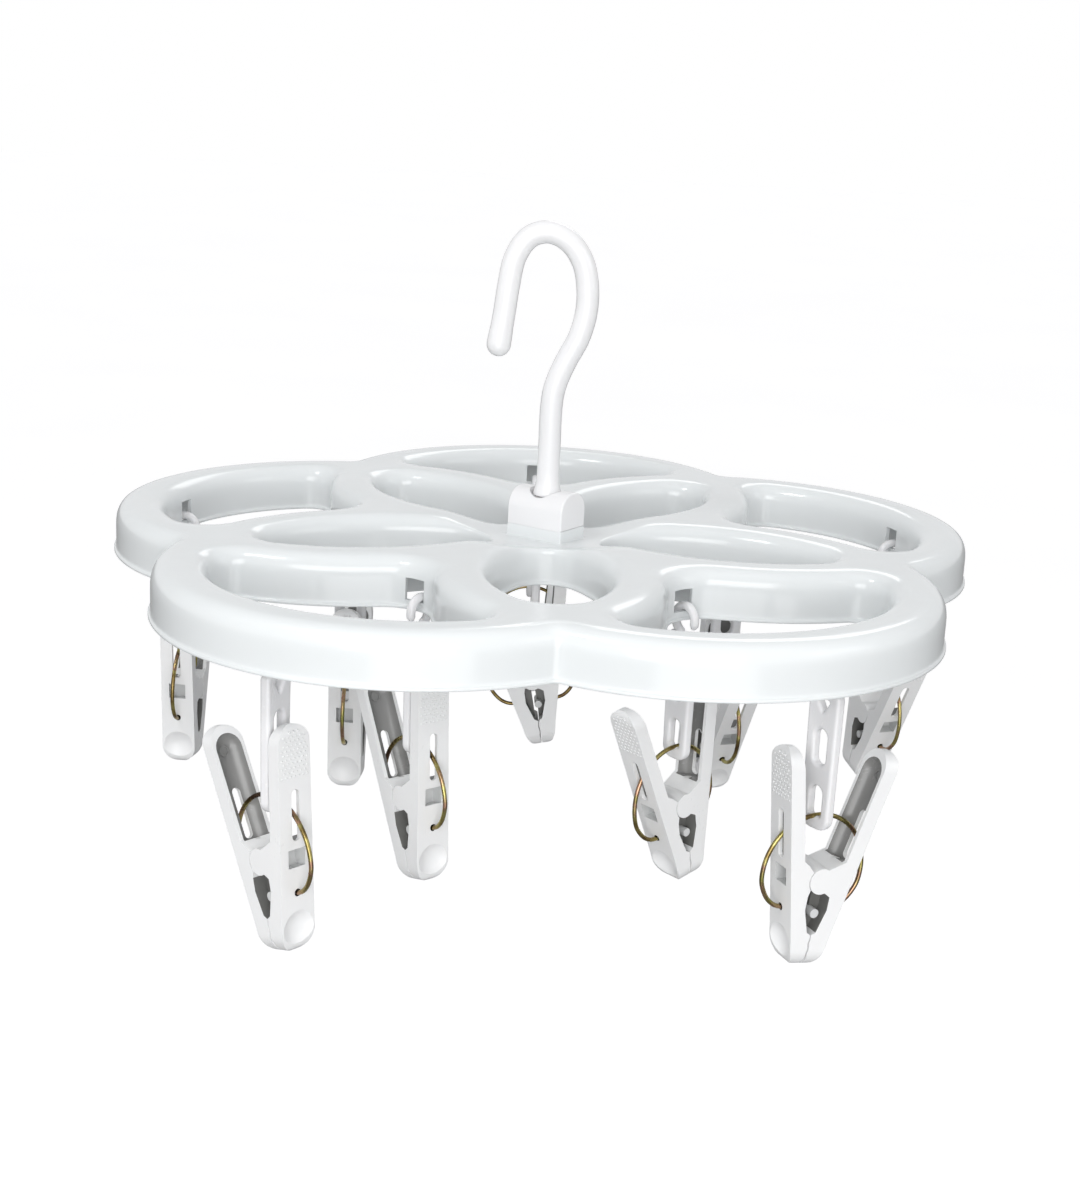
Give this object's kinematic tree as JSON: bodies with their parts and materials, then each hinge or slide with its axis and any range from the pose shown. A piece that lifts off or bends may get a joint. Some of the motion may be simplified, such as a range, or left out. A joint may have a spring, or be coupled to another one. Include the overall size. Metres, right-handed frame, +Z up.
{
  "type": "hanging laundry clip rack",
  "caption": "Flower-shaped plastic laundry hanger: a swivel hook carries a frame of overlapping rings, and sprung pegs hang from it on plastic links.",
  "frame": {"origin": "top of the inside of the hook, where the rail that carries the rack touches it", "axes": "+Z up along the hub's axis; +X in the plane of the hook, away from its tip; the back lobe of the flower points along +Y"},
  "size_m": [0.3172, 0.31, 0.2185],
  "materials": {
    "frame_plastic": "glossy cool white polypropylene moulding",
    "hook_plastic": "glossy bright white moulding",
    "peg_plastic": "satin white moulding",
    "link_plastic": "glossy white moulding, slightly translucent",
    "spring_wire": "yellow-passivated spring steel wire, bronze in places"
  },
  "bodies": {
    "hook": {"hook": "hook_plastic"},
    "frame": {"frame": "frame_plastic", "hook_block": "hook_plastic"},
    "peg_01_link": {"peg_01_link": "link_plastic"},
    "peg_01": {"peg_01_near_lever": "peg_plastic", "peg_01_spring": "spring_wire"},
    "peg_01_jaw": {"peg_01_far_lever": "peg_plastic"},
    "peg_02_link": {"peg_02_link": "link_plastic"},
    "peg_02": {"peg_02_near_lever": "peg_plastic", "peg_02_spring": "spring_wire"},
    "peg_02_jaw": {"peg_02_far_lever": "peg_plastic"},
    "peg_03_link": {"peg_03_link": "link_plastic"},
    "peg_03": {"peg_03_near_lever": "peg_plastic", "peg_03_spring": "spring_wire"},
    "peg_03_jaw": {"peg_03_far_lever": "peg_plastic"},
    "peg_04_link": {"peg_04_link": "link_plastic"},
    "peg_04": {"peg_04_near_lever": "peg_plastic", "peg_04_spring": "spring_wire"},
    "peg_04_jaw": {"peg_04_far_lever": "peg_plastic"},
    "peg_05_link": {"peg_05_link": "link_plastic"},
    "peg_05": {"peg_05_near_lever": "peg_plastic", "peg_05_spring": "spring_wire"},
    "peg_05_jaw": {"peg_05_far_lever": "peg_plastic"},
    "peg_06_link": {"peg_06_link": "link_plastic"},
    "peg_06": {"peg_06_near_lever": "peg_plastic", "peg_06_spring": "spring_wire"},
    "peg_06_jaw": {"peg_06_far_lever": "peg_plastic"},
    "peg_07_link": {"peg_07_link": "link_plastic"},
    "peg_07": {"peg_07_near_lever": "peg_plastic", "peg_07_spring": "spring_wire"},
    "peg_07_jaw": {"peg_07_far_lever": "peg_plastic"},
    "peg_08_link": {"peg_08_link": "link_plastic"},
    "peg_08": {"peg_08_near_lever": "peg_plastic", "peg_08_spring": "spring_wire"},
    "peg_08_jaw": {"peg_08_far_lever": "peg_plastic"},
    "peg_09_link": {"peg_09_link": "link_plastic"},
    "peg_09": {"peg_09_near_lever": "peg_plastic", "peg_09_spring": "spring_wire"},
    "peg_09_jaw": {"peg_09_far_lever": "peg_plastic"},
    "peg_10_link": {"peg_10_link": "link_plastic"},
    "peg_10": {"peg_10_near_lever": "peg_plastic", "peg_10_spring": "spring_wire"},
    "peg_10_jaw": {"peg_10_far_lever": "peg_plastic"}
  },
  "joints": [
    {"name": "frame_swivel", "type": "hinge", "parent": "hook", "child": "frame", "pos_m": [0.0036, 0, -0.0972], "axis": [0, 0, 1], "continuous": true},
    {"name": "peg_01_swing", "type": "hinge", "parent": "frame", "child": "peg_01_link", "pos_m": [-0.07966, -0.118, -0.1171], "axis": [0.809, -0.5878, 0], "range_deg": [-15, 15]},
    {"name": "peg_01_lean", "type": "hinge", "parent": "peg_01_link", "child": "peg_01", "pos_m": [-0.07966, -0.118, -0.1807], "axis": [0.7071, 0.7071, 0], "range_deg": [-0.5, 6]},
    {"name": "peg_01_open", "type": "hinge", "parent": "peg_01", "child": "peg_01_jaw", "pos_m": [-0.07946, -0.11819, -0.18166], "axis": [0.7071, 0.7071, 0], "range_deg": [0, 20], "stiffness_Nm_per_rad": 0.4, "springref_deg": -28.65, "deforming": ["peg_01_spring"]},
    {"name": "peg_02_swing", "type": "hinge", "parent": "frame", "child": "peg_02_link", "pos_m": [-0.03893, -0.06193, -0.1171], "axis": [0.809, -0.5878, 0], "range_deg": [-15, 15]},
    {"name": "peg_02_lean", "type": "hinge", "parent": "peg_02_link", "child": "peg_02", "pos_m": [-0.03893, -0.06193, -0.1807], "axis": [0.7986, 0.6018, 0], "range_deg": [-1.5, 5]},
    {"name": "peg_02_open", "type": "hinge", "parent": "peg_02", "child": "peg_02_jaw", "pos_m": [-0.03877, -0.06214, -0.18167], "axis": [0.7986, 0.6018, 0], "range_deg": [0, 20], "stiffness_Nm_per_rad": 0.4, "springref_deg": -28.65, "deforming": ["peg_02_spring"]},
    {"name": "peg_03_swing", "type": "hinge", "parent": "frame", "child": "peg_03_link", "pos_m": [0.08726, -0.1177, -0.1171], "axis": [0.809, 0.5878, 0], "range_deg": [-15, 15]},
    {"name": "peg_03_lean", "type": "hinge", "parent": "peg_03_link", "child": "peg_03", "pos_m": [0.08726, -0.1177, -0.1807], "axis": [0.3746, -0.9272, 0], "range_deg": [-8.5, 2]},
    {"name": "peg_03_open", "type": "hinge", "parent": "peg_03", "child": "peg_03_jaw", "pos_m": [0.08713, -0.11776, -0.18169], "axis": [0.3746, -0.9272, 0], "range_deg": [0, 20], "stiffness_Nm_per_rad": 0.4, "springref_deg": -28.65, "deforming": ["peg_03_spring"]},
    {"name": "peg_04_swing", "type": "hinge", "parent": "frame", "child": "peg_04_link", "pos_m": [0.04936, -0.05958, -0.1171], "axis": [0.809, 0.5878, 0], "range_deg": [-15, 15]},
    {"name": "peg_04_lean", "type": "hinge", "parent": "peg_04_link", "child": "peg_04", "pos_m": [0.04936, -0.05958, -0.1807], "axis": [-0.6293, 0.7771, 0], "range_deg": [-5.5, 8]},
    {"name": "peg_04_open", "type": "hinge", "parent": "peg_04", "child": "peg_04_jaw", "pos_m": [0.04951, -0.05946, -0.18168], "axis": [-0.6293, 0.7771, 0], "range_deg": [0, 20], "stiffness_Nm_per_rad": 0.4, "springref_deg": -28.65, "deforming": ["peg_04_spring"]},
    {"name": "peg_05_swing", "type": "hinge", "parent": "frame", "child": "peg_05_link", "pos_m": [0.14093, 0.04462, -0.1171], "axis": [-0.309, 0.9511, 0], "range_deg": [-15, 15]},
    {"name": "peg_05_lean", "type": "hinge", "parent": "peg_05_link", "child": "peg_05", "pos_m": [0.14093, 0.04462, -0.1807], "axis": [-0.9511, -0.309, 0], "range_deg": [-1.5, 12]},
    {"name": "peg_05_open", "type": "hinge", "parent": "peg_05", "child": "peg_05_jaw", "pos_m": [0.14085, 0.04487, -0.18167], "axis": [-0.9511, -0.309, 0], "range_deg": [0, 20], "stiffness_Nm_per_rad": 0.4, "springref_deg": -28.65, "deforming": ["peg_05_spring"]},
    {"name": "peg_06_swing", "type": "hinge", "parent": "frame", "child": "peg_06_link", "pos_m": [0.07502, 0.02321, -0.1171], "axis": [-0.309, 0.9511, 0], "range_deg": [-15, 15]},
    {"name": "peg_06_lean", "type": "hinge", "parent": "peg_06_link", "child": "peg_06", "pos_m": [0.07502, 0.02321, -0.1807], "axis": [-0.9511, -0.309, 0], "range_deg": [-1.5, 12]},
    {"name": "peg_06_open", "type": "hinge", "parent": "peg_06", "child": "peg_06_jaw", "pos_m": [0.07494, 0.02345, -0.18167], "axis": [-0.9511, -0.309, 0], "range_deg": [0, 20], "stiffness_Nm_per_rad": 0.4, "springref_deg": -28.65, "deforming": ["peg_06_spring"]},
    {"name": "peg_07_swing", "type": "hinge", "parent": "frame", "child": "peg_07_link", "pos_m": [0.0036, 0.1444, -0.1171], "axis": [-1, 0, 0], "range_deg": [-15, 15]},
    {"name": "peg_07_lean", "type": "hinge", "parent": "peg_07_link", "child": "peg_07", "pos_m": [0.0036, 0.1444, -0.1807], "axis": [0, 1, 0], "range_deg": [-7.5, 6]},
    {"name": "peg_07_open", "type": "hinge", "parent": "peg_07", "child": "peg_07_jaw", "pos_m": [0.00376, 0.1444, -0.18169], "axis": [0, 1, 0], "range_deg": [0, 20], "stiffness_Nm_per_rad": 0.4, "springref_deg": -28.65, "deforming": ["peg_07_spring"]},
    {"name": "peg_08_swing", "type": "hinge", "parent": "frame", "child": "peg_08_link", "pos_m": [0.0036, 0.0751, -0.1171], "axis": [-1, 0, 0], "range_deg": [-15, 15]},
    {"name": "peg_08_lean", "type": "hinge", "parent": "peg_08_link", "child": "peg_08", "pos_m": [0.0036, 0.0751, -0.1807], "axis": [0, 1, 0], "range_deg": [-5.5, 8]},
    {"name": "peg_08_open", "type": "hinge", "parent": "peg_08", "child": "peg_08_jaw", "pos_m": [0.00379, 0.0751, -0.18168], "axis": [0, 1, 0], "range_deg": [0, 20], "stiffness_Nm_per_rad": 0.4, "springref_deg": -28.65, "deforming": ["peg_08_spring"]},
    {"name": "peg_09_swing", "type": "hinge", "parent": "frame", "child": "peg_09_link", "pos_m": [-0.13373, 0.04462, -0.1171], "axis": [-0.309, -0.9511, 0], "range_deg": [-15, 15]},
    {"name": "peg_09_lean", "type": "hinge", "parent": "peg_09_link", "child": "peg_09", "pos_m": [-0.13373, 0.04462, -0.1807], "axis": [0.9945, -0.1045, 0], "range_deg": [-8.5, 5]},
    {"name": "peg_09_open", "type": "hinge", "parent": "peg_09", "child": "peg_09_jaw", "pos_m": [-0.13375, 0.04448, -0.18169], "axis": [0.9945, -0.1045, 0], "range_deg": [0, 20], "stiffness_Nm_per_rad": 0.4, "springref_deg": -28.65, "deforming": ["peg_09_spring"]},
    {"name": "peg_10_swing", "type": "hinge", "parent": "frame", "child": "peg_10_link", "pos_m": [-0.06782, 0.02321, -0.1171], "axis": [-0.309, -0.9511, 0], "range_deg": [-15, 15]},
    {"name": "peg_10_lean", "type": "hinge", "parent": "peg_10_link", "child": "peg_10", "pos_m": [-0.06782, 0.02321, -0.1807], "axis": [0.9986, -0.0523, 0], "range_deg": [-8.5, 5]},
    {"name": "peg_10_open", "type": "hinge", "parent": "peg_10", "child": "peg_10_jaw", "pos_m": [-0.06783, 0.02307, -0.18169], "axis": [0.9986, -0.0523, 0], "range_deg": [0, 20], "stiffness_Nm_per_rad": 0.4, "springref_deg": -28.65, "deforming": ["peg_10_spring"]}
  ]
}
